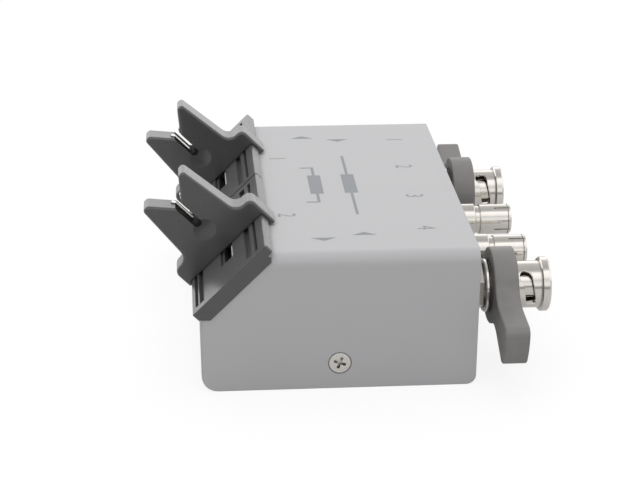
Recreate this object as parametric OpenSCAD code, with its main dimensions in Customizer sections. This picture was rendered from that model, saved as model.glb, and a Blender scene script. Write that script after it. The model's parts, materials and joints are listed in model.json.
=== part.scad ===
// Four-terminal component test fixture: a painted box that plugs onto a meter by four
// coaxial plugs, with two contact jaws that slide along a rail on its sloping front.
// Millimetres. Origin: centre of the underside. +X to the plugs, +Y across, +Z up.

/* [Housing] */
// length of the housing, front to rear
body_l = 66; // [62:1:76]
// width of the housing
body_w = 98; // [94:1:110]
// height of the housing
body_h = 34.5; // [33:0.5:38]
// wall of the cover and of the chassis
wall_t = 1.5; // [1.2:0.1:1.8]
// height of the front wall, up to the front ledge
front_h = 18.8; // [17.5:0.1:20]
// depth of the ledge at the foot of the slope
ledge_w = 2.3; // [1.8:0.1:2.4]
// height of the step at the head of the slope
ledge_h = 1.3; // [1:0.1:1.6]
// radius of the long upper edges
edge_r = 3; // [1.8:0.1:4]
// radius of the front lower edge
front_r = 4; // [2.5:0.1:5]
// radius of the rear lower edge
rear_r = 2.4; // [1.9:0.1:3.5]
// height of the side screws
screw_z = 6.6; // [5.5:0.1:8]

/* [Rails] */
// height of the rail flange over the slope
rail_top = 3.95; // [3.6:0.05:4.4]
// underside of the rail flange over the slope
rail_under = 1.75; // [1.72:0.01:1.9]
// reach of the flange past each end of the slope
rail_reach = 2.15; // [1.9:0.05:2.6]
// how far the rails stand past the side walls
rail_proud = 0.4; // [0:0.1:1]
// half width of the contact window
window_half = 2.1; // [1.9:0.05:2.5]
// length of the contact window along the rail
window_len = 25.4; // [22:0.2:28]

/* [Jaws] */
// thickness of a jaw along the rail
jaw_t = 6.6; // [6.2:0.1:9]
// height of the jaw tips over the slope
jaw_h = 25.2; // [24:0.1:30]
// jaw position, outward from the middle of its rail
jaw_rest = 1.3; // [0:0.1:3]
// half width of the mouth at the tips
mouth_half = 5.4; // [4.6:0.1:5.5]
// depth of the mouth
mouth_deep = 5.3; // [4.5:0.1:6]
// half width of the lead slot
slot_half = 1.05; // [0.95:0.05:1.3]
// bottom of the lead slot over the slope
slot_low = 13.6; // [12:0.1:15]
// half width of the stem at its root
stem_half = 8.7; // [8.2:0.1:9.4]
// half width of the stem at the tips
tip_half = 7.05; // [7:0.05:7.6]
// rounding of the jaw's edges
jaw_edge = 0.7; // [0.4:0.05:0.8]
// thickness of the foot
foot_t = 4.75; // [4:0.05:5.5]

/* [Plugs] */
// distance between neighbouring plugs
pitch = 22; // [21.5:0.1:22.5]
// height of the plug axes
plug_z = 18.9; // [17.6:0.1:20]
// radius of the plug sleeves
plug_r = 4.05; // [3.95:0.01:4.1]
// reach of the push-in plugs past the rear
plug_reach = 18.2; // [17.6:0.1:19.6]
// reach of the bayonet couplings past the rear
coupling_reach = 19.5; // [19:0.1:22]
// outer radius of a coupling
coupling_r = 5.8; // [5.6:0.05:6]
// outer radius of the coupling end ring
ring_r = 6.7; // [6.3:0.05:7.2]

/* [Levers] */
// outer radius of the lever ring
lever_r = 9.5; // [8.8:0.1:10.5]
// width of the lever along the plug axis
lever_w = 5.95; // [5.2:0.05:6.5]
// reach of the lever from the plug axis
lever_len = 25.2; // [23:0.1:25.5]
// half height of the lever tip
lever_tip = 6; // [5.2:0.05:6.3]
// half height of the lever neck
lever_neck = 3.65; // [3.2:0.05:4.2]
// rounding of the lever's edges
lever_edge = 0.4; // [0.3:0.05:0.6]
// how far the near lever points down, in degrees
near_down = 15; // [0:1:15]
// how far the far lever points up, in degrees
far_up = 2; // [-1:1:25]

/* [Hidden] */
$fn = 0;
$fa = 4;
$fs = 0.2;
eps = 0.01;
fit = 0.05;
slip = 0.1;
seat = 0.15;
root = sqrt(0.5);
hx = body_l / 2;
hy = body_w / 2;
slope_rise = body_h - ledge_h - front_h;
slope_half = slope_rise * root;
slope_x = -hx + ledge_w + slope_rise / 2;
slope_z = front_h + slope_rise / 2;
flange_half = slope_half + rail_reach;
flange_edge = 0.35;
flange_corner = 0.9;
seam = 0.3;
rail_end = hy + rail_proud;
rail_len = rail_end - seam / 2;
rail_mid = seam / 2 + rail_len / 2;
window_y0 = rail_mid - window_len / 2;
window_y1 = rail_mid + window_len / 2;
post_y0 = (seam / 2 + window_y0) / 2;
post_y1 = (rail_end + window_y1) / 2;
groove_end = 2.5;
guide_w = 0.95;
guide_hi = flange_half - 3.03;
guide_lo = -flange_half + 1.83;
broad_hi = flange_half - 5.5;
broad_lo = -flange_half + 3.55;
under_lo = rail_under - 0.55;
under_hi = rail_under + 0.45;
under_in = 1.2;
jaw_y = rail_mid + jaw_rest;
foot_lo = rail_top + slip;
foot_hi = foot_lo + foot_t;
lip_t = 0.9;
foot_half = flange_half + slip + lip_t;
lip_low = 0.3;
lip_short = rail_top - 0.7;
throat_half = 0.5;
dish_r = 2.8;
dish_deep = 0.4;
dish_rise = 0.3;
rib_len = jaw_t - 1.4;
mouth_low = jaw_h - mouth_deep;
blade_t = 0.25;
blade_in = slot_half - fit - blade_t;
flare_out = 0.55;
flare_up = 0.8;
blade_w = 1.4;
blade_y = -0.9;
blade_low = rail_under - 0.8;
strip_in = blade_in + blade_t + slip;
strip_t = 0.4;
strip_top = rail_top - 0.5;
board_t = 1.6;
board_top = -3.5;
board_low = board_top - board_t;
board_half = 6;
post_r = 2.2;
rail_screw_r = 0.95;
rail_head_r = 1.9;
rail_head_t = 1.3;
lead_r = 0.9;
bend_r = 1.1;
lead_apart = 5;
lead_u = 2.6;
lead_drop = 4;
solder_r = 1.5;
solder_len = 6;
tail_r = 4.7;
tail_len = 6.5;
washer_t = 0.6;
nut_t = 2.5;
nut_r = 7.2;
hex_r = 6.2;
hex_t = 3;
journal_r = 4.85;
journal_end = 10.6;
bore_core = 2.3;
core_end = 10;
socket_r = 3.3;
sleeve_end = coupling_reach - 1.7;
pin_r = 0.675;
pin_tail = tail_len + 4;
pin_tip = 15;
keeper_x0 = 3.4;
keeper_x1 = 4.4;
keeper_r = 6.55;
keeper_edge = 0.25;
coupling_x0 = 4.9;
ring_w = 2.2;
lever_x0 = 5;
lever_bow = 8;
lever_mid = sqrt((lever_r - lever_neck) * (lever_r + lever_neck + 2 * lever_bow));
lever_taper = atan((lever_tip - lever_neck) / (lever_len - lever_mid));
lever_end_r = 14;
lever_corner = 2.2;
base_r = 5.4;
base_t = 0.9;
shank_r = 4.4;
shank_end = 8.4;
waist_r = 3.65;
waist_end = 9.7;
slit_len = 4.7;
detent_x = 13.4;
detent_r = 1.55;
detent_angle = -57;
track_w = 2.4;
track_turn = 76;
track_lean = 8;
screw_r = 1.2;
screw_head_r = 2.6;
screw_head_t = 1.25;
screw_len = 5;
plug_ys = [-1.5 * pitch, -0.5 * pitch, 0.5 * pitch, 1.5 * pitch];

// points of a polygon with each corner replaced by an arc of its own radius
function unit(a) = a / norm(a);
function arc_points(p, a, b, r, steps) =
  let (
    ua = unit(a - p),
    ub = unit(b - p),
    half = acos(max(-1, min(1, ua * ub))) / 2,
    mid = unit(ua + ub),
    c = p + mid * r / sin(half),
    start = p + ua * r / tan(half) - c,
    turn = (ua[0] * ub[1] - ua[1] * ub[0] > 0 ? -1 : 1) * (180 - 2 * half)
  )
  [for (i = [0:steps]) let (t = turn * i / steps)
    c + [start[0] * cos(t) - start[1] * sin(t), start[0] * sin(t) + start[1] * cos(t)]];
function rounded(pts, radii, steps) =
  let (n = len(pts))
  [for (i = [0:n - 1])
    let (p = pts[i], a = pts[(i + n - 1) % n], b = pts[(i + 1) % n])
    each (radii[i] > 0 ? arc_points(p, a, b, radii[i], steps) : [p])];

// frame on the slope: x runs up the slope, y across, z out of it
module on_slope() {
  translate([slope_x, 0, slope_z])
    rotate([0, -45, 0])
      children();
}

// the low side is +Y, the high side is its mirror image
module on_side(side) {
  if (side > 0)
    children();
  else
    mirror([0, 1, 0])
      children();
}

module along_y(y0, y1) {
  translate([0, y1, 0])
    rotate([90, 0, 0])
      linear_extrude(height = y1 - y0)
        children();
}

module along_x(x0, x1) {
  translate([x0, 0, 0])
    rotate([90, 0, 90])
      linear_extrude(height = x1 - x0)
        children();
}

// what a fillet takes away at a corner; sx and sy point into the material
module corner_waste(x, y, r, sx, sy) {
  difference() {
    translate([sx > 0 ? x - 1 : x - r, sy > 0 ? y - 1 : y - r])
      square([r + 1, r + 1]);
    translate([x + sx * r, y + sy * r])
      circle(r = r);
  }
}

module at_plug(y) {
  translate([hx, y, plug_z])
    rotate([0, 90, 0])
      children();
}

module turned(points) {
  rotate_extrude()
    polygon(points);
}

// Housing

module side_outline() {
  top_x = slope_x + slope_rise / 2;
  difference() {
    polygon([
      [-hx, 0], [-hx, front_h], [-hx + ledge_w, front_h],
      [top_x, body_h - ledge_h], [top_x, body_h], [hx, body_h], [hx, 0]
    ]);
    corner_waste(-hx, 0, front_r, 1, 1);
    corner_waste(hx, 0, rear_r, -1, 1);
  }
}

module end_outline(half, top, r) {
  difference() {
    translate([-half, -2])
      square([2 * half, top + 2]);
    corner_waste(-half, top, r, 1, -1);
    corner_waste(half, top, r, -1, -1);
  }
}

module side_hollow() {
  lean = wall_t * (sqrt(2) - 1);
  top_x = slope_x + slope_rise / 2;
  lip_x = -hx + front_r + 1;
  in_r = max(0.4, front_r - wall_t);
  difference() {
    polygon([
      [-hx + wall_t, wall_t], [-hx + wall_t, front_h - wall_t],
      [-hx + ledge_w + lean, front_h - wall_t],
      [top_x + wall_t, body_h - ledge_h - lean],
      [top_x + wall_t, body_h - wall_t],
      [hx + 2, body_h - wall_t], [hx + 2, -2], [lip_x, -2], [lip_x, wall_t]
    ]);
    corner_waste(-hx + wall_t, wall_t, in_r, 1, 1);
  }
}

module side_screw_hole() {
  translate([0, 0, -eps])
    cylinder(r1 = screw_head_r + fit, r2 = screw_r + 2 * fit, h = screw_head_t + eps);
  cylinder(r = screw_r + 2 * fit, h = wall_t + 2);
}

module cover() {
  color([0.78, 0.78, 0.79])
    difference() {
      intersection() {
        along_y(-hy, hy)
          side_outline();
        along_x(-hx - 1, hx + 1)
          end_outline(hy, body_h, edge_r);
        difference() {
          translate([-hx, -hy, -1])
            cube([body_l, body_w, body_h + 2]);
          for (s = [-1, 1])
            translate([0, 0, -2])
              linear_extrude(height = body_h + 4)
                corner_waste(-hx, s * hy, 1, 1, -s);
        }
      }
      intersection() {
        along_y(-hy + wall_t, hy - wall_t)
          side_hollow();
        along_x(-hx - 1, hx + 3)
          end_outline(hy - wall_t, body_h - wall_t, max(0.3, edge_r - wall_t));
      }
      for (s = [-1, 1]) {
        translate([0, s * hy, screw_z])
          rotate([s * 90, 0, 0])
            side_screw_hole();
        on_slope()
          on_side(s) {
            translate([-board_half + 1.5, window_y0 - 1, -wall_t - 1])
              cube([2 * board_half - 3, window_len + 2, wall_t + 2]);
            for (y = [post_y0, post_y1])
              translate([0, y, -wall_t - 1])
                cylinder(r = post_r + 0.15, h = wall_t + 2);
          }
      }
    }
}

module chassis() {
  half = hy - wall_t - seat;
  x0 = -hx + front_r + 1 + seat;
  in_r = max(0.3, rear_r - wall_t);
  tab_w = 12;
  tab_h = screw_z + 4.5;
  color([0.62, 0.63, 0.64])
    difference() {
      union() {
        along_y(-half, half)
          difference() {
            translate([x0, 0])
              square([hx - x0, body_h - wall_t - seat]);
            difference() {
              translate([x0 - 1, wall_t])
                square([hx - wall_t - x0 + 1, body_h]);
              corner_waste(hx - wall_t, wall_t, in_r, -1, 1);
            }
            corner_waste(hx, 0, rear_r, -1, 1);
          }
        for (s = [-1, 1])
          translate([-tab_w / 2, s * (half - wall_t / 2) - wall_t / 2, wall_t / 2])
            cube([tab_w, wall_t, tab_h]);
      }
      for (y = plug_ys)
        at_plug(y)
          translate([0, 0, -wall_t - 1])
            cylinder(r = tail_r + fit, h = wall_t + 2);
      translate([0, 0, screw_z])
        rotate([90, 0, 0])
          cylinder(r = screw_r + fit, h = body_w, center = true);
      along_x(hx - 2 * wall_t - 1, hx + 1)
        union() {
          corner_waste(-half, body_h - wall_t - seat, edge_r - wall_t + 0.4, 1, -1);
          corner_waste(half, body_h - wall_t - seat, edge_r - wall_t + 0.4, -1, -1);
        }
    }
}

module cover_screws() {
  color([0.75, 0.74, 0.7])
    for (s = [-1, 1])
      translate([0, s * hy, screw_z])
        rotate([s * 90, 0, 0])
          difference() {
            union() {
              cylinder(r1 = screw_head_r, r2 = screw_r, h = screw_head_t);
              cylinder(r = screw_r, h = screw_len);
            }
            for (a = [0, 90])
              rotate([0, 0, a + 20])
                translate([-1.5, -0.35, -1])
                  cube([3, 0.7, 1.8]);
          }
}

// Rails on the slope

module rail_flange_outline() {
  f = flange_half;
  c = flange_edge;
  polygon([
    [-f, rail_under], [-f, rail_top - c], [-f + c, rail_top],
    [f - c, rail_top], [f, rail_top - c], [f, rail_under]
  ]);
}

module rail_foot_outline() {
  lo = (ledge_w - fit) * root;
  hi = ledge_h * root;
  s = slope_half - fit;
  polygon([
    [-s, 0], [-s - lo, lo], [-s - lo, rail_under + eps],
    [s + hi * 0.6, rail_under + eps], [s + hi, hi], [s, 0]
  ]);
}

module groove(u, w, v0, v1) {
  translate([u - w / 2, seam / 2 + groove_end, v0])
    cube([w, rail_len - 2 * groove_end, v1 - v0]);
}

module rail(side) {
  color([0.3, 0.3, 0.31])
    on_slope()
      on_side(side)
        difference() {
          union() {
            along_y(seam / 2, rail_end)
              rail_flange_outline();
            along_y(seam / 2 + 0.2, rail_end)
              rail_foot_outline();
            for (y = [post_y0, post_y1])
              translate([0, y, board_top])
                cylinder(r = post_r, h = rail_under - board_top);
          }
          translate([-window_half, window_y0, -1])
            cube([2 * window_half, window_len, rail_top + 2]);
          for (s = [-1, 1])
            translate([0, 0, -2])
              linear_extrude(height = rail_top + 3)
                corner_waste(s * flange_half, rail_end, flange_corner, -s, -1);
          groove(guide_hi, guide_w, under_lo, rail_top + 1);
          groove(guide_lo, guide_w, under_lo, rail_top + 1);
          groove(guide_hi - under_in / 2, guide_w + under_in, under_lo, under_hi);
          groove(guide_lo + under_in / 2, guide_w + under_in, under_lo, under_hi);
          groove(broad_hi, 1.8, rail_top - 0.9, rail_top + 1);
          groove(broad_lo, 1.5, rail_top - 0.9, rail_top + 1);
          for (y = [post_y0, post_y1])
            translate([0, y, board_top - 1])
              cylinder(r = rail_screw_r + fit, h = 1 - board_top + 0.8);
        }
}

module rail_low() {
  rail(1);
}

module rail_high() {
  rail(-1);
}

module rail_screws() {
  color([0.7, 0.69, 0.65])
    on_slope()
      for (s = [-1, 1])
        for (y = [post_y0, post_y1])
          translate([0, s * y, board_low])
            difference() {
              union() {
                cylinder(r = rail_screw_r, h = board_t - board_top + 0.3);
                translate([0, 0, -rail_head_t])
                  cylinder(r = rail_head_r, h = rail_head_t);
              }
              for (a = [0, 90])
                rotate([0, 0, a])
                  translate([-1.1, -0.25, -rail_head_t - 1])
                    cube([2.2, 0.5, 1.7]);
            }
}

module contact_board() {
  len_y = 2 * (post_y1 + 3);
  color([0.16, 0.33, 0.2])
    on_slope()
      difference() {
        translate([-board_half, -len_y / 2, board_low])
          cube([2 * board_half, len_y, board_t]);
        for (s = [-1, 1])
          for (y = [post_y0, post_y1])
            translate([0, s * y, board_low - 1])
              cylinder(r = rail_screw_r + 0.15, h = board_t + 2);
      }
}

// a strip is a springy angle that stands on the board and lines one side of the window
module strip(side, up) {
  y0 = window_y0 + 0.4;
  y1 = window_y1 - 0.4;
  color([0.82, 0.8, 0.72])
    on_slope()
      on_side(side)
        mirror([up > 0 ? 0 : 1, 0, 0])
          along_y(y0, y1)
            polygon([
              [strip_in, board_top], [3.2, board_top], [3.2, board_top + strip_t],
              [strip_in + strip_t, board_top + strip_t], [strip_in + strip_t, strip_top - 0.5],
              [strip_in + strip_t + 0.15, strip_top], [strip_in + 0.15, strip_top],
              [strip_in, strip_top - 0.5]
            ]);
}

module strip_low_a() {
  strip(1, 1);
}

module strip_low_b() {
  strip(1, -1);
}

module strip_high_a() {
  strip(-1, 1);
}

module strip_high_b() {
  strip(-1, -1);
}

// Jaws

// outline of a jaw before its slot is cut and its underside is opened for the rail
module jaw_outline() {
  f = foot_half;
  lean = mouth_deep / (mouth_half - slot_half);
  throat = mouth_low - (slot_half - throat_half) * lean;
  pts = [
    [-f, lip_low - 2], [f, lip_low - 2], [f, foot_hi], [stem_half, foot_hi],
    [tip_half, jaw_h], [mouth_half, jaw_h], [throat_half, throat],
    [-throat_half, throat], [-mouth_half, jaw_h], [-tip_half, jaw_h],
    [-stem_half, foot_hi], [-f, foot_hi]
  ];
  radii = [0, 0, 1.9, 2.6, 1, 1.2, 0, 0, 1.2, 1, 2.6, 1.9];
  polygon(rounded(pts, radii, 6));
}

module jaw_body() {
  r = jaw_edge;
  in_f = flange_half + slip;
  difference() {
    minkowski() {
      along_y(r - jaw_t / 2, jaw_t / 2 - r)
        offset(delta = -r)
          jaw_outline();
      sphere(r = r, $fn = 16);
    }
    translate([-in_f, -jaw_t, lip_low - 4])
      cube([2 * in_f, 2 * jaw_t, foot_lo - lip_low + 4]);
    translate([-in_f - 3, -jaw_t, lip_low - 4])
      cube([4, 2 * jaw_t, lip_short - lip_low + 4]);
    translate([in_f - 1, -jaw_t, lip_low - 4])
      cube([4, 2 * jaw_t, 4]);
  }
}

// rib that runs in a rail guide, with a toe under the flange
module jaw_rib(u, toe) {
  w = guide_w - 2 * slip;
  translate([u - w / 2, -rib_len / 2, under_lo + slip])
    cube([w, rib_len, foot_lo + 0.5 - under_lo - slip]);
  translate([u - w / 2 + (toe < 0 ? toe : 0), -rib_len / 2, under_lo + slip])
    cube([w + abs(toe), rib_len, under_hi - under_lo - 2 * slip]);
}

module jaw(side) {
  ball_r = (dish_r * dish_r + dish_deep * dish_deep) / (2 * dish_deep);
  pocket_top = slot_low + slot_half;
  color([0.33, 0.33, 0.34])
    on_slope()
      on_side(side)
        translate([0, jaw_y, 0])
          difference() {
            union() {
              jaw_body();
              jaw_rib(guide_hi, -under_in + slip);
              jaw_rib(guide_lo, under_in - slip);
            }
            along_y(-jaw_t, jaw_t)
              translate([0, pocket_top]) {
                circle(r = slot_half);
                translate([-slot_half, 0])
                  square([2 * slot_half, mouth_low - slot_low]);
              }
            for (s = [-1, 1]) {
              translate([s * (blade_in + blade_t / 2), blade_y, (foot_lo + pocket_top) / 2])
                cube([blade_t + 2 * fit, blade_w + 2 * fit, pocket_top - foot_lo + 1], center = true);
              translate([0, s * (jaw_t / 2 - dish_deep + ball_r), slot_low + dish_rise - dish_r])
                sphere(r = ball_r);
            }
          }
}

module jaw_low() {
  jaw(1);
}

module jaw_high() {
  jaw(-1);
}

// a blade runs from the mouth of its jaw down between the strips of the rail
module blade(side, up) {
  i = blade_in;
  o = blade_in + blade_t;
  color([0.86, 0.83, 0.72])
    on_slope()
      on_side(side)
        translate([0, jaw_y, 0])
          mirror([up > 0 ? 0 : 1, 0, 0])
            along_y(blade_y - blade_w / 2, blade_y + blade_w / 2)
              polygon([
                [i, blade_low], [o, blade_low], [o, mouth_low], [o + flare_out, mouth_low + flare_up],
                [i + flare_out + 0.04, mouth_low + flare_up + 0.16], [i, mouth_low + 0.12]
              ]);
}

module blade_low_a() {
  blade(1, 1);
}

module blade_low_b() {
  blade(1, -1);
}

module blade_high_a() {
  blade(-1, 1);
}

module blade_high_b() {
  blade(-1, -1);
}

// Plugs at the rear

module slits(count, x0, x1, w) {
  for (i = [0:count - 1])
    rotate([0, 0, i * 360 / count + 22])
      translate([socket_r - 1, -w / 2, x0])
        cube([plug_r, w, x1 - x0]);
}

module lock_body(y) {
  color([0.8, 0.79, 0.76])
    at_plug(y)
      difference() {
        union() {
          turned([
            [bore_core, -tail_len], [tail_r, -tail_len], [tail_r, 0], [journal_r, 0],
            [journal_r, journal_end], [plug_r, journal_end], [plug_r, sleeve_end - 0.4],
            [plug_r - 0.4, sleeve_end], [socket_r, sleeve_end], [socket_r, core_end], [bore_core, core_end]
          ]);
          difference() {
            cylinder(r = hex_r, h = hex_t, $fn = 6);
            translate([0, 0, -1])
              cylinder(r = journal_r - 0.5, h = hex_t + 2);
          }
        }
        slits(4, sleeve_end - 5, sleeve_end + 1, 0.45);
      }
}

module lock_body_near() {
  lock_body(plug_ys[0]);
}

module lock_body_far() {
  lock_body(plug_ys[3]);
}

module keeper(y) {
  color([0.84, 0.83, 0.8])
    at_plug(y)
      turned([
        [journal_r + fit, keeper_x0], [keeper_r - keeper_edge, keeper_x0],
        [keeper_r, keeper_x0 + keeper_edge], [keeper_r, keeper_x1 - keeper_edge],
        [keeper_r - keeper_edge, keeper_x1], [journal_r + fit, keeper_x1]
      ]);
}

module keeper_near() {
  keeper(plug_ys[0]);
}

module keeper_far() {
  keeper(plug_ys[3]);
}

// angles run from +Y towards +Z
module at_turn(angle) {
  rotate([0, 0, angle + 90])
    children();
}

module bayonet_track(angle) {
  mid = angle + track_turn / 2;
  at_turn(angle)
    translate([0, 0, detent_x])
      rotate([0, 90, 0])
        cylinder(r = detent_r, h = coupling_r + 1);
  at_turn(mid)
    translate([0, 0, detent_x + 0.9])
      rotate([track_lean, 0, 0])
        rotate([0, 0, -track_turn / 2])
          rotate_extrude(angle = track_turn)
            translate([journal_r - 1.5, -track_w / 2])
              square([coupling_r - journal_r + 3, track_w]);
}

module coupling(y, angle) {
  e = coupling_reach;
  color([0.82, 0.81, 0.79])
    at_plug(y)
      difference() {
        turned([
          [journal_r + fit, coupling_x0], [coupling_r, coupling_x0], [coupling_r, e - ring_w],
          [ring_r - 0.3, e - ring_w], [ring_r, e - ring_w + 0.3], [ring_r, e - 0.4],
          [ring_r - 0.4, e], [journal_r + 0.4, e], [journal_r + fit, e - 0.4]
        ]);
        for (a = [0, 180])
          bayonet_track(angle + detent_angle + a);
      }
}

module coupling_near() {
  coupling(plug_ys[0], 180 + near_down);
}

module coupling_far() {
  coupling(plug_ys[3], far_up);
}

function arc(c, r, a0, a1, steps) =
  [for (i = [0:steps]) let (a = a0 + (a1 - a0) * i / steps) c + r * [cos(a), sin(a)]];

// half of the lever's outline, inset by d: end, corner, taper, hollow side, ring
function lever_half(d) =
  let (
    end_c = [lever_len - lever_end_r, 0],
    bow_c = [lever_mid, lever_neck + lever_bow],
    out = [-sin(lever_taper), cos(lever_taper)],
    on = [cos(lever_taper), sin(lever_taper)],
    from = bow_c - (lever_bow + lever_corner) * out,
    gap = from - end_c,
    room = lever_end_r - lever_corner,
    run = sqrt(pow(gap * on, 2) - gap * gap + room * room) - gap * on,
    corner_c = from + run * on,
    end_a = atan2(corner_c[1] - end_c[1], corner_c[0] - end_c[0]),
    ring_a = atan2(bow_c[1], bow_c[0])
  )
  concat(
    arc(end_c, lever_end_r - d, 0, end_a, 4),
    arc(corner_c, lever_corner - d, end_a, 90 + lever_taper, 8),
    arc(bow_c, lever_bow + d, 270 + lever_taper, 180 + ring_a, 14),
    arc([0, 0], lever_r - d, ring_a, 180, 36)
  );

module lever_outline(d) {
  half = lever_half(d);
  n = len(half);
  polygon(concat(half, [for (i = [n - 2:-1:1]) [half[i][0], -half[i][1]]]));
}

module lever_body() {
  e = lever_edge;
  difference() {
    minkowski() {
      along_x(e, lever_w - e)
        lever_outline(e);
      sphere(r = e, $fn = 12);
    }
    translate([-1, 0, 0])
      rotate([0, 90, 0])
        cylinder(r = coupling_r + fit, h = lever_w + 2);
  }
}

module lever(y, angle) {
  color([0.48, 0.47, 0.46])
    translate([hx + lever_x0, y, plug_z])
      rotate([angle, 0, 0])
        lever_body();
}

module lever_near() {
  lever(plug_ys[0], 180 + near_down);
}

module lever_far() {
  lever(plug_ys[3], far_up);
}

module plug_body(y) {
  e = plug_reach;
  color([0.8, 0.79, 0.76])
    at_plug(y)
      difference() {
        turned([
          [bore_core, -tail_len], [tail_r, -tail_len], [tail_r, 0], [base_r, 0], [base_r, base_t],
          [shank_r, base_t], [shank_r, shank_end - 0.2], [shank_r - 0.2, shank_end],
          [waist_r, shank_end], [waist_r, waist_end], [plug_r - 0.2, waist_end],
          [plug_r, waist_end + 0.2], [plug_r, e - 1], [plug_r - 0.25, e - 1], [plug_r - 0.25, e - 0.8],
          [plug_r, e - 0.8], [plug_r, e - 0.4], [plug_r - 0.4, e], [socket_r, e],
          [socket_r, core_end + 0.6], [bore_core, core_end + 0.6]
        ]);
        slits(4, e - slit_len, e + 1, 0.4);
      }
}

module plug_body_near() {
  plug_body(plug_ys[1]);
}

module plug_body_far() {
  plug_body(plug_ys[2]);
}

module insulator(i) {
  color([0.93, 0.93, 0.9])
    at_plug(plug_ys[i])
      turned([
        [pin_r + fit, -tail_len - 0.6], [bore_core - fit, -tail_len - 0.6],
        [bore_core - fit, core_end], [pin_r + fit, core_end]
      ]);
}

module insulator_1() {
  insulator(0);
}

module insulator_2() {
  insulator(1);
}

module insulator_3() {
  insulator(2);
}

module insulator_4() {
  insulator(3);
}

module centre_pin(i) {
  color([0.85, 0.72, 0.38])
    at_plug(plug_ys[i])
      turned([
        [0, -pin_tail], [1.1, -pin_tail], [1.1, -tail_len - 0.7], [pin_r, -tail_len - 0.7],
        [pin_r, pin_tip - 0.8], [0.25, pin_tip], [0, pin_tip]
      ]);
}

module centre_pin_1() {
  centre_pin(0);
}

module centre_pin_2() {
  centre_pin(1);
}

module centre_pin_3() {
  centre_pin(2);
}

module centre_pin_4() {
  centre_pin(3);
}

module panel_washers() {
  color([0.72, 0.72, 0.7])
    for (y = plug_ys)
      at_plug(y)
        turned([
          [tail_r + fit, -wall_t - washer_t], [nut_r - 0.6, -wall_t - washer_t],
          [nut_r - 0.6, -wall_t], [tail_r + fit, -wall_t]
        ]);
}

module panel_nuts() {
  x0 = -wall_t - washer_t - nut_t;
  color([0.74, 0.73, 0.7])
    for (y = plug_ys)
      at_plug(y)
        translate([0, 0, x0])
          difference() {
            cylinder(r = nut_r, h = nut_t, $fn = 6);
            translate([0, 0, -1])
              cylinder(r = tail_r + fit, h = nut_t + 2);
          }
}

// Leads from the contact board to the plugs

module rod(a, b, r) {
  d = b - a;
  l = norm(d);
  translate(a)
    rotate([0, acos(d[2] / l), atan2(d[1], d[0])])
      cylinder(r = r, h = l);
}

function slope_point(u, y, v) = [slope_x + (u - v) * root, y, slope_z + (u + v) * root];

module lead(i) {
  side = i < 2 ? -1 : 1;
  outer = i == 0 || i == 3;
  y = side * (rail_mid + (outer ? lead_apart : -lead_apart));
  u = outer ? lead_u : -lead_u;
  a = slope_point(u, y, board_low);
  b = slope_point(u, y, board_low - lead_drop);
  c = [hx - pin_tail - solder_len, plug_ys[i], plug_z];
  d = [hx - pin_tail - fit, plug_ys[i], plug_z];
  color([0.75, 0.74, 0.7])
    union() {
      rod(a, b, lead_r);
      translate(b)
        sphere(r = bend_r);
      rod(b, c + [bend_r, 0, 0], lead_r);
      rod(c, d, solder_r);
    }
}

module lead_1() {
  lead(0);
}

module lead_2() {
  lead(1);
}

module lead_3() {
  lead(2);
}

module lead_4() {
  lead(3);
}

cover();
chassis();
cover_screws();
rail_low();
rail_high();
rail_screws();
contact_board();
strip_low_a();
strip_low_b();
strip_high_a();
strip_high_b();
jaw_low();
jaw_high();
blade_low_a();
blade_low_b();
blade_high_a();
blade_high_b();
lock_body_near();
lock_body_far();
keeper_near();
keeper_far();
coupling_near();
coupling_far();
lever_near();
lever_far();
plug_body_near();
plug_body_far();
insulator_1();
insulator_2();
insulator_3();
insulator_4();
centre_pin_1();
centre_pin_2();
centre_pin_3();
centre_pin_4();
panel_washers();
panel_nuts();
lead_1();
lead_2();
lead_3();
lead_4();
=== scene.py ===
"""Looks of the component test fixture: finishes, print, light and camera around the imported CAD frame."""
import json
import math

import bpy
from mathutils import Matrix, Vector


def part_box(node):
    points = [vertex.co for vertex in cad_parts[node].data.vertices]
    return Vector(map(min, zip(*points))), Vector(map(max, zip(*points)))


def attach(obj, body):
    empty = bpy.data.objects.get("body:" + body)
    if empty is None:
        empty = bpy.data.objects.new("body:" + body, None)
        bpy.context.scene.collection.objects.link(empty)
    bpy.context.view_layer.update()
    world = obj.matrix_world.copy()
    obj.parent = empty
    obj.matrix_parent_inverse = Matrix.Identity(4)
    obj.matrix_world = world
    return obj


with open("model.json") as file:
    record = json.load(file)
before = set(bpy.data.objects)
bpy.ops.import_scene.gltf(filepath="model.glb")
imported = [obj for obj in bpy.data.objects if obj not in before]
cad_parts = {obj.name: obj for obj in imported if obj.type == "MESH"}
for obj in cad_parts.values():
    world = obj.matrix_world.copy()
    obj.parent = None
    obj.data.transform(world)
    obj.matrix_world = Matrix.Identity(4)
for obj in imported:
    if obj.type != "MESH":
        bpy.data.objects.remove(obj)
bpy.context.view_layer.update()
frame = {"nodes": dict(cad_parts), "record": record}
nodes = frame["nodes"]
MM = 0.001
WHITE = (1.0, 1.0, 1.0, 1.0)

# Camera, fitted to the housing's corners
CAM_TURN = math.radians(-4.7722)
CAM_RISE = math.radians(22.1041)
CAM_ROLL = math.radians(0.4455)
CAM_TARGET = Vector((-0.9165, 0.0, 18.4546)) * MM
CAM_AWAY = 458.8086 * MM
CAM_CLIP = 10.0 * MM
FOCAL_PX = 1751.2703
IMAGE_W = 640
SENSOR = 36.0

# Height of a finish's grain, rounding of its edges, and how near a wall has to be to shade it
FINE_RELIEF = 0.02 * MM
SCUFF_RELIEF = 0.05 * MM
MOULD_EDGE = 0.3 * MM
JAW_EDGE = 0.5 * MM
PAINT_EDGE = 0.3 * MM
PLATE_EDGE = 0.15 * MM
MOULD_SHADE = 2.5 * MM
PLATE_SHADE = 1.4 * MM
STRIP_SHADE = 3.0 * MM

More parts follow.
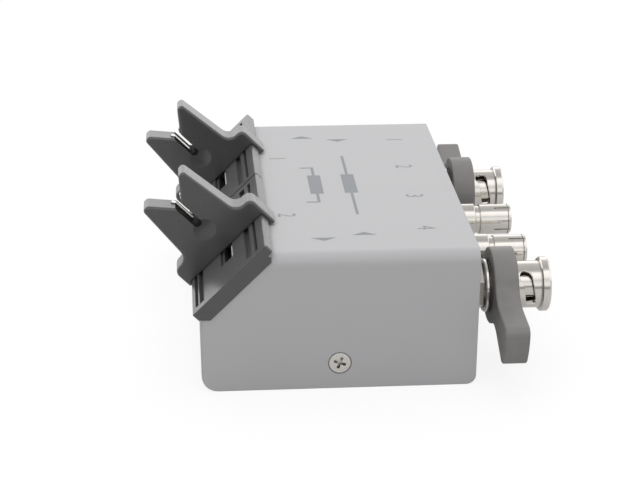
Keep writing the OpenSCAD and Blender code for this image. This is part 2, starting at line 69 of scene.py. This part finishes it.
# Tool marks on turned pieces run round X, so their noise is drawn out across it
TURNED = (1.0, 0.02, 0.02)

# Painted shade lines and painted highlight rims: half their width, or their depth
SEAT_SHADE = 0.32 * MM
SEAM_SHADE = 0.4 * MM
STRIP_GLINT = 0.5 * MM

# Lead slot in a jaw, whose walls carry painted shade: its round foot below the jaw's top, half its width,
# and the blur of its edge
SLOT_DOWN = 11.6 * MM
SLOT_HALF = 1.05 * MM
SLOT_FADE = 0.06 * MM

# The slope stands at 45 degrees: X + Z and Z - X times this are lengths along it and square to it
ROOT_HALF = math.sqrt(0.5)


class Value:
    """One output in a finish's node tree. Arithmetic on it adds Math nodes."""

    def __init__(self, finish, socket):
        self.finish = finish
        self.socket = socket

    def beside(self, output):
        """Another output of the same node."""
        return Value(self.finish, self.socket.node.outputs[output])

    def maths(self, operation, first, second):
        return self.finish.node("ShaderNodeMath", {"operation": operation}, {0: first, 1: second})

    def __add__(self, other):
        return self.maths("ADD", self, other)

    def __radd__(self, other):
        return self.maths("ADD", other, self)

    def __sub__(self, other):
        return self.maths("SUBTRACT", self, other)

    def __rsub__(self, other):
        return self.maths("SUBTRACT", other, self)

    def __mul__(self, other):
        return self.maths("MULTIPLY", self, other)

    def __rmul__(self, other):
        return self.maths("MULTIPLY", other, self)

    def __truediv__(self, other):
        return self.maths("DIVIDE", self, other)

    def __rtruediv__(self, other):
        return self.maths("DIVIDE", other, self)

    def __pow__(self, other):
        return self.maths("POWER", self, other)

    def __rpow__(self, other):
        return self.maths("POWER", other, self)

    def most(self, other):
        return self.maths("MAXIMUM", self, other)

    def least(self, other):
        return self.maths("MINIMUM", self, other)


class Finish:
    """A node tree, of a material or of the world, and what is wired in it."""

    def __init__(self, owner):
        self.owner = owner
        owner.use_nodes = True
        self.tree = owner.node_tree
        self.tree.nodes.clear()

    def node(self, kind, settings=None, inputs=None, output=0):
        made = self.tree.nodes.new(kind)
        for name, value in (settings or {}).items():
            if name == "stops":
                set_stops(made.color_ramp, value)
            else:
                setattr(made, name, value)
        for name, value in (inputs or {}).items():
            if isinstance(value, Value):
                self.tree.links.new(value.socket, made.inputs[name])
            else:
                made.inputs[name].default_value = value
        return Value(self, made.outputs[output]) if made.outputs else None

    def place(self):
        return self.node("ShaderNodeTexCoord", output="Object")

    def along(self, axis):
        return self.node("ShaderNodeSeparateXYZ", {}, {0: self.place()}, output=axis)

    def stretched(self, scale):
        """The place on the object with each axis scaled, for grain that runs one way."""
        return self.node(
            "ShaderNodeVectorMath", {"operation": "MULTIPLY"}, {0: self.place(), 1: scale})

    def noise(self, scale, detail=2.0, place=None):
        vector = place or self.place()
        return self.node("ShaderNodeTexNoise", {}, {"Vector": vector, "Scale": scale, "Detail": detail})

    def ramp(self, factor, stops):
        return self.node("ShaderNodeValToRGB", {"stops": stops}, {"Fac": factor})

    def mix(self, factor, first, second):
        """Colour between two colours; the sockets are the colour ones of the Mix node."""
        return self.node(
            "ShaderNodeMix", {"data_type": "RGBA"}, {0: factor, 6: first, 7: second}, output=2)

    def tones(self, factor, colour, low, high):
        """One colour, from low to high times its own level."""
        return self.mix(factor, shade(colour, low), shade(colour, high))

    def bump(self, height, strength, depth, normal=None):
        inputs = {"Height": height, "Strength": strength, "Distance": depth}
        if normal is not None:
            inputs["Normal"] = normal
        return self.node("ShaderNodeBump", {}, inputs)

    def open_air(self, reach, shut, clear):
        """0 in corners and slots, 1 where nothing stands within reach."""
        air = self.node("ShaderNodeAmbientOcclusion", {"samples": 6}, {"Distance": reach}, output="AO")
        return self.ramp(air, [(shut, 0.0), (clear, 1.0)])

    def soft_edges(self, radius):
        return self.node("ShaderNodeBevel", {"samples": 6}, {"Radius": radius})

    def rays(self):
        """1 where the camera sees a surface, also through clear pieces, and 1 where a mirror does."""
        path = self.node("ShaderNodeLightPath", output="Is Camera Ray")
        return path.most(path.beside("Is Transmission Ray")), path.beside("Is Glossy Ray")

    def shader(self, **inputs):
        named = {name.replace("_", " "): value for name, value in inputs.items()}
        return self.node("ShaderNodeBsdfPrincipled", {}, named)

    def surface(self, **inputs):
        return self.wear(self.shader(**inputs))

    def wear(self, shader):
        self.node("ShaderNodeOutputMaterial", {}, {"Surface": shader})
        return self.owner


def set_stops(ramp, stops):
    while len(ramp.elements) < len(stops):
        ramp.elements.new(1.0)
    for element, (at, level) in zip(ramp.elements, stops):
        element.position = at
        element.color = (level, level, level, 1.0)


def new_finish(name):
    return Finish(bpy.data.materials.new(name))


def shade(colour, factor):
    return tuple(part * factor for part in colour) + (1.0,)


def side_screw_seat():
    """Where a side screw's head sits in the housing's side: x, z and radius."""
    low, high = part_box("cover_screws")
    return (low.x + high.x) / 2, (low.z + high.z) / 2, (high.z - low.z) / 2


def satin_paint(name, colour):
    """Stoved satin paint: faint orange-peel, a slow drift in tone, painted shadow in the gap round the
    side screws.
    """
    f = new_finish(name)
    seat_x, seat_z, seat_r = side_screw_seat()
    from_seat = ((f.along("X") - seat_x) ** 2.0 + (f.along("Z") - seat_z) ** 2.0) ** 0.5
    # Painted shadow: the paint darkens to a thin ring round each side screw's head, where the seat's gap
    # lies in shade
    line = 1.0 - (((from_seat - seat_r) / SEAT_SHADE) ** 2.0).least(1.0)
    drift = f.noise(45.0, 2.0)
    peel = f.noise(1500.0, 2.0)
    grain = f.noise(6500.0, 1.0)
    tone = f.tones(drift, colour, 0.985, 1.015)
    return f.surface(
        Base_Color=f.mix(line * 0.95, tone, shade(colour, 0.06)),
        Roughness=0.40 + drift * 0.06 + grain * 0.04,
        Normal=f.bump(peel + grain * 0.3, 0.10, FINE_RELIEF, f.soft_edges(PAINT_EDGE)))


def lead_slot(f):
    """1 on the walls of the jaws' lead slot, which runs square to the slope, and 0 elsewhere; there shade
    is painted.
    """
    corners = [corner.co for corner in nodes["jaw_low"].data.vertices]
    middle = (min(c.x + c.z for c in corners) + max(c.x + c.z for c in corners)) / 2
    top = max(c.z - c.x for c in corners)
    aside = (f.along("X") + f.along("Z") - middle) * ROOT_HALF
    under = ((top - (f.along("Z") - f.along("X"))) * ROOT_HALF - SLOT_DOWN).most(0.0)
    off = (aside ** 2.0 + under ** 2.0) ** 0.5 - SLOT_HALF
    return 1.0 - (off / SLOT_FADE).most(0.0).least(1.0)


def rail_seam(f):
    """1 on the line where the rails meet, falling to 0 beside it; there the gap's shade is painted dark.
    """
    return 1.0 - ((f.along("Y") / SEAM_SHADE) ** 2.0).least(1.0)


def moulded_plastic(name, colour, rough, edge, gloss_and_glint=0.0, bloom=0.0, gap=None):
    """Grained moulding; rubbed a little smoother and paler in spots, with painted shade in corners, and
    painted shade inside a gap.
    """
    f = new_finish(name)
    round_off = f.soft_edges(edge)
    flow = f.noise(70.0, 3.0)
    grain = f.noise(5200.0, 2.0)
    rub = f.ramp(f.noise(260.0, 4.0), [(0.52, 0.0), (0.70, 1.0)])
    # Painted shade: in corners and slots the colour darkens to half; there the coat also fades and the
    # surface grows rougher
    air = f.open_air(MOULD_SHADE, 0.35, 0.8)
    tone = f.tones(flow, colour, 0.93, 1.07)
    tone = f.mix(rub * 0.12, tone, shade(colour, 1.5))
    face = f.shader(
        Base_Color=f.mix(air, shade(colour, 0.5), tone),
        Roughness=rough + (grain - 0.5) * 0.06 - rub * 0.04 + (1.0 - air) * 0.3,
        IOR=1.58,
        Coat_Weight=air * gloss_and_glint if gloss_and_glint else 0.0,
        Coat_Roughness=0.24,
        Sheen_Weight=bloom,
        Sheen_Roughness=0.5,
        Normal=f.bump(grain, 0.08, FINE_RELIEF, round_off))
    if gap:
        # Painted shade: where the gap mask is 1, a dark, dull shader stands in for the shade inside a slot
        # or seam
        painted_gap_shade = f.shader(Base_Color=shade(colour, 0.3), Roughness=0.6, Specular_IOR_Level=0.1)
        face = f.node("ShaderNodeMixShader", {}, {0: gap(f), 1: face, 2: painted_gap_shade})
    return f.wear(face)


def plated_metal(name, colour, rough, grain=(1.0, 1.0, 1.0)):
    """Bright plating: tool marks along the grain, small stains, and painted shade in its corners."""
    f = new_finish(name)
    round_off = f.soft_edges(PLATE_EDGE)
    marks = f.noise(9000.0, 1.0, f.stretched(grain))
    stain = f.noise(420.0, 4.0)
    haze = f.noise(120.0, 3.0)
    # Painted shade: the plating's colour darkens to a sixth in corners and recesses
    air = f.open_air(PLATE_SHADE, 0.2, 0.7)
    tone = f.tones(stain, colour, 0.92, 1.04)
    return f.surface(
        Base_Color=f.mix(air, shade(colour, 0.16), tone),
        Metallic=1.0,
        Roughness=rough + haze * 0.06 + stain * 0.03 + (1.0 - air) * 0.2,
        Normal=f.bump(marks + stain, 0.03, FINE_RELIEF, round_off))


def contact_strip(name, colour, gloss_and_glint):
    """Contact strip: dark sides as painted shade, and a pale painted highlight along its rim, as strong as
    the last argument.
    """
    f = new_finish(name)
    corners = nodes["strip_low_a"].data.vertices
    rim_rise = max(corner.co.z - corner.co.x for corner in corners)
    below = rim_rise - (f.along("Z") - f.along("X"))
    # Painted highlight: a pale, hardly metallic band along the top rim, faded by painted shade near walls;
    # the sides are painted dark
    rim = (1.0 - (below / STRIP_GLINT).least(1.0)) * f.open_air(STRIP_SHADE, 0.15, 0.5) * gloss_and_glint
    stain = f.noise(420.0, 4.0)
    return f.surface(
        Base_Color=f.tones(rim, colour, 0.22, 1.0),
        Metallic=1.0 - rim * 0.9,
        Roughness=0.45 + stain * 0.1,
        Normal=f.bump(stain, 0.03, FINE_RELIEF, f.soft_edges(PLATE_EDGE)))


def waxy_plastic(name, colour):
    """Pale, slightly cloudy insulator."""
    f = new_finish(name)
    cloud = f.noise(300.0, 2.0)
    return f.surface(
        Base_Color=f.tones(cloud, colour, 0.95, 1.0),
        Roughness=0.38 + cloud * 0.1,
        Normal=f.bump(f.noise(3000.0), 0.05, FINE_RELIEF))


def laminate(name, colour):
    """Woven laminate under lacquer."""
    f = new_finish(name)
    weave = f.node("ShaderNodeTexWave", {"wave_type": "BANDS"},
                   {"Vector": f.place(), "Scale": 900.0, "Distortion": 1.5})
    return f.surface(
        Base_Color=f.tones(weave, colour, 0.85, 1.15),
        Roughness=0.28 + f.noise(200.0) * 0.08,
        Normal=f.bump(weave, 0.06, FINE_RELIEF))


def jacket(name, colour):
    """Matt jacket of a lead, lightly scuffed."""
    f = new_finish(name)
    scuff = f.noise(500.0, 3.0)
    return f.surface(
        Base_Color=f.tones(scuff, colour, 0.9, 1.1),
        Roughness=0.55 + scuff * 0.15,
        Normal=f.bump(scuff, 0.1, SCUFF_RELIEF))


def screen_ink(name, colour):
    """Screen-printed ink: thin and even, with a faint mottle."""
    f = new_finish(name)
    mottle = f.noise(900.0, 3.0)
    return f.surface(
        Base_Color=f.tones(mottle, colour, 0.95, 1.05),
        Roughness=0.48 + mottle * 0.08)


FINISHES = {
    "housing_paint": satin_paint("housing_paint_satin", (0.50, 0.50, 0.51)),
    "chassis_paint": satin_paint("chassis_paint_satin", (0.46, 0.46, 0.47)),
    "screw_nickel": plated_metal("screw_nickel_plate", (0.88, 0.85, 0.79), 0.16),
    "rail_plastic": moulded_plastic(
        "rail_moulding", (0.060, 0.060, 0.062), 0.32, MOULD_EDGE, gloss_and_glint=0.8, bloom=0.12, gap=rail_seam),
    "jaw_plastic": moulded_plastic(
        "jaw_moulding", (0.056, 0.056, 0.058), 0.30, JAW_EDGE, gloss_and_glint=0.7, bloom=0.35, gap=lead_slot),
    "lever_plastic": moulded_plastic("lever_moulding", (0.218, 0.210, 0.201), 0.46, MOULD_EDGE),
    "plug_nickel": plated_metal("plug_nickel_plate", (0.85, 0.815, 0.765), 0.05, TURNED),
    "contact_metal": plated_metal("contact_plate", (0.86, 0.84, 0.78), 0.14),
    "insulator_white": waxy_plastic("insulator_wax", (0.80, 0.80, 0.76)),
    "pin_gold": plated_metal("pin_gold_flash", (0.85, 0.66, 0.30), 0.18, TURNED),
    "board_laminate": laminate("board_lacquer", (0.02, 0.06, 0.03)),
    "lead_jacket": jacket("lead_jacket_matt", (0.30, 0.30, 0.29)),
}
STRIP_PLATE = (0.95, 0.95, 0.93)
# The contact strips: one with a bright painted highlight on its rim, one with a faint one
STRIPS = {
    "a": contact_strip("strip_bright_glint", STRIP_PLATE, 1.0),
    "b": contact_strip("strip_faint_glint", STRIP_PLATE, 0.15),
}
INK = screen_ink("ink_grey", (0.268, 0.279, 0.295))


def dress_frame():
    """Each CAD node gets its slot's finish; the contact strips are told apart by their last letter."""
    for part in frame["record"]["subparts"]:
        for slot in nodes[part["node"]].material_slots:
            slot.material = FINISHES[part["material_slot"]]
            if part["node"].startswith("strip_"):
                slot.material = STRIPS[part["node"][-1]]


# Print on the housing's top, in mm: the four pointers, the two component signs, numerals
INK_LIFT = 0.02
LINE_W = 0.75
POINTERS = [
    ((-6.5, 35.2), (-0.2, 35.2), (-3.35, 37.3)),
    ((3.2, 34.2), (9.4, 34.2), (6.3, 32.1)),
    ((-6.4, -38.0), (0.0, -38.0), (-3.2, -40.0)),
    ((3.6, -36.8), (9.8, -36.8), (6.7, -34.9))]
AXIAL_X = 6.42
AXIAL_ENDS = (-23.2, 20.1)
AXIAL_BODY = (-8.0, 5.75)
BENT_X = -2.35
BENT_ENDS = (-14.4, 11.6)
BENT_BODY = (-8.25, 5.4)
BENT_REACH = 3.2
BODY_W = 3.4
NUMERAL_H = 4.4
NUMERAL_SHARE = 0.69  # height of a numeral in a font of size 1
NUMERAL_NARROWING = 0.8
JAW_NUMERALS = {"1": (-11.0, 19.1), "2": (-11.0, -22.7)}
PLUG_NUMERAL_X = 22.2
PINS_FROM_FAR = ("centre_pin_4", "centre_pin_3", "centre_pin_2", "centre_pin_1")
TOP_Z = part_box("cover")[1].z


def on_top(x, y):
    """A point of the print, a hair above the paint, from its place in mm."""
    return Vector((x * MM, y * MM, TOP_Z + INK_LIFT * MM))


def put_in_scene(name, data):
    made = bpy.data.objects.new(name, data)
    bpy.context.scene.collection.objects.link(made)
    return made


def printed(name, outlines):
    """Flat ink patches from outlines in mm, all facing up."""
    points = []
    faces = []
    for outline in outlines:
        ring = [on_top(x, y) for x, y in outline]
        if (ring[1] - ring[0]).cross(ring[2] - ring[0]).z < 0:
            ring.reverse()
        faces.append(list(range(len(points), len(points) + len(ring))))
        points += ring
    mesh = bpy.data.meshes.new(name)
    mesh.from_pydata(points, [], faces)
    mesh.materials.append(INK)
    patch = put_in_scene(name, mesh)
    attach(patch, "housing")


def bar(x0, y0, x1, y1):
    """The four corners of a rectangle."""
    return (x0, y0), (x1, y0), (x1, y1), (x0, y1)


def component_sign(name, x, ends, body, reach):
    """A lead, a body and a lead; with a reach, both leads turn aside at their ends."""
    half = LINE_W / 2
    outlines = [
        bar(x - half, ends[0], x + half, body[0]),
        bar(x - BODY_W / 2, body[0], x + BODY_W / 2, body[1]),
        bar(x - half, body[1], x + half, ends[1])]
    if reach:
        outlines.append(bar(x - reach, ends[0], x - half, ends[0] + LINE_W))
        outlines.append(bar(x - reach, ends[1] - LINE_W, x - half, ends[1]))
    printed(name, outlines)


def numeral(name, sign, x, y):
    """A printed numeral, upright for someone who faces the jaws."""
    letter = bpy.data.curves.new(name, "FONT")
    letter.body = sign
    letter.size = NUMERAL_H * MM / NUMERAL_SHARE
    letter.align_x = "CENTER"
    letter.materials.append(INK)
    piece = put_in_scene(name, letter)
    piece.matrix_world = (
        Matrix.Translation(on_top(x - NUMERAL_H / 2, y))
        @ Matrix.Rotation(-math.pi / 2, 4, "Z")
        @ Matrix.Diagonal((NUMERAL_NARROWING, 1.0, 1.0, 1.0)))
    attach(piece, "housing")


def make_print():
    """All of the print: each jaw and each plug has its numeral beside it."""
    printed("print_pointers", POINTERS)
    component_sign("print_axial_sign", AXIAL_X, AXIAL_ENDS, AXIAL_BODY, 0)
    component_sign("print_bent_sign", BENT_X, BENT_ENDS, BENT_BODY, BENT_REACH)
    for sign, (x, y) in JAW_NUMERALS.items():
        numeral("print_jaw_" + sign, sign, x, y)
    for number, pin in enumerate(PINS_FROM_FAR, 1):
        low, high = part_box(pin)
        numeral("print_plug_%d" % number, str(number), PLUG_NUMERAL_X, (low.y + high.y) / 2 / MM)


def make_camera():
    """Camera at the fitted place; its axes are across, up and back."""
    across = Vector((math.cos(CAM_TURN), math.sin(CAM_TURN), 0.0))
    back = Vector((
        math.sin(CAM_TURN) * math.cos(CAM_RISE),
        -math.cos(CAM_TURN) * math.cos(CAM_RISE),
        math.sin(CAM_RISE)))
    up = back.cross(across)
    turn = Matrix((across, up, back)).transposed() @ Matrix.Rotation(CAM_ROLL, 3, "Z")
    lens = bpy.data.cameras.new("camera")
    lens.sensor_width = SENSOR
    lens.lens = FOCAL_PX * SENSOR / IMAGE_W
    lens.clip_start = CAM_CLIP
    camera = put_in_scene("camera", lens)
    camera.matrix_world = Matrix.Translation(CAM_TARGET + back * CAM_AWAY) @ turn.to_4x4()
    bpy.context.scene.camera = camera


# The studio: level of its light, and what plating mirrors at each height above the horizon, before
# the fixture and behind it, times a peak. FRONT_FROM and FRONT_RATE set where the back gives way.
FILL = 0.30
MIRROR_PEAK = 1.4
BEFORE = [
    (0.0, 0.22), (0.15, 0.26), (0.24, 0.66), (0.44, 0.66),
    (0.62, 0.52), (0.80, 0.80), (0.95, 0.88), (1.0, 0.40)]
BEHIND = [(0.0, 0.74), (0.16, 0.86), (0.40, 0.95), (0.66, 0.44), (1.0, 0.34)]
FRONT_FROM = 0.2
FRONT_RATE = 4.0


def make_world():
    """White studio. Mirrored, its back is bright, its front dark at the horizon and paler above."""
    world = bpy.data.worlds.new("studio")
    bpy.context.scene.world = world
    f = Finish(world)
    seen, glossy = f.rays()
    way = f.node("ShaderNodeTexCoord", output="Generated")
    across = f.node("ShaderNodeSeparateXYZ", {}, {0: way}, output="Y")
    height = across.beside("Z")
    front = f.ramp(FRONT_FROM - across * FRONT_RATE, [(0.0, 0.0), (1.0, 1.0)])
    before = f.ramp(height, BEFORE)
    behind = f.ramp(height, BEHIND)
    mirrored = (behind + front * (before - behind)) * MIRROR_PEAK
    level = FILL + seen * (1.0 - FILL)
    level = level + glossy * (1.0 - seen) * (mirrored - FILL)
    sky = f.node("ShaderNodeBackground", {}, {"Color": WHITE, "Strength": level})
    f.node("ShaderNodeOutputWorld", {}, {"Surface": sky})


# The floor: half its side in metres, its drop below the fixture, the grey of its paper, and how
# much of it glows white where it is seen and where it is mirrored
FLOOR_HALF = 1.6
FLOOR_DROP = 0.05 * MM
PAPER = (0.70, 0.70, 0.70, 1.0)
SEEN_SHARE = 0.78
MIRRORED_SHARE = 0.4
GLOW = 0.5
SEEN_GLOW = 0.6


def make_floor():
    """White paper that keeps the fixture's shadow."""
    corners = bar(-FLOOR_HALF, -FLOOR_HALF, FLOOR_HALF, FLOOR_HALF)
    mesh = bpy.data.meshes.new("floor")
    mesh.from_pydata([(x, y, -FLOOR_DROP) for x, y in corners], [], [(0, 1, 2, 3)])
    floor = put_in_scene("floor", mesh)
    f = new_finish("floor_white")
    seen, glossy = f.rays()
    share = (seen * SEEN_SHARE).most(glossy * MIRRORED_SHARE)
    paper = f.node("ShaderNodeBsdfDiffuse", {}, {"Color": PAPER})
    glow = f.node("ShaderNodeEmission", {}, {"Color": WHITE, "Strength": GLOW + seen * SEEN_GLOW})
    mesh.materials.append(f.wear(f.node("ShaderNodeMixShader", {}, {0: share, 1: paper, 2: glow})))


# Softboxes: name, place, what it faces, width and depth, all in metres, and watts
SOFTBOXES = [
    ("overhead", (0.0, 0.12, 0.80), (0.0, 0.0, 0.0), 1.1, 0.96, 4.8),
    ("front", (0.0, -0.78, 0.58), (0.0, 0.0, 0.02), 1.2, 0.89, 2.8),
    ("back", (0.0, 1.0, 0.46), (0.0, 0.0, 0.30), 1.6, 0.9, 4.0)]


def softbox(name, place, target, width, depth, watts):
    """A rectangular lamp that faces its target and isn't mirrored."""
    lamp = bpy.data.lights.new(name, "AREA")
    lamp.shape = "RECTANGLE"
    lamp.size = width
    lamp.size_y = depth
    lamp.energy = watts
    stand = put_in_scene(name, lamp)
    aim = Vector(target) - Vector(place)
    stand.matrix_world = Matrix.Translation(place) @ aim.to_track_quat("-Z", "Y").to_matrix().to_4x4()
    stand.visible_glossy = False


dress_frame()
make_print()
make_camera()
make_world()
make_floor()
for lamp_row in SOFTBOXES:
    softbox(*lamp_row)
bpy.context.scene.view_settings.view_transform = "Standard"
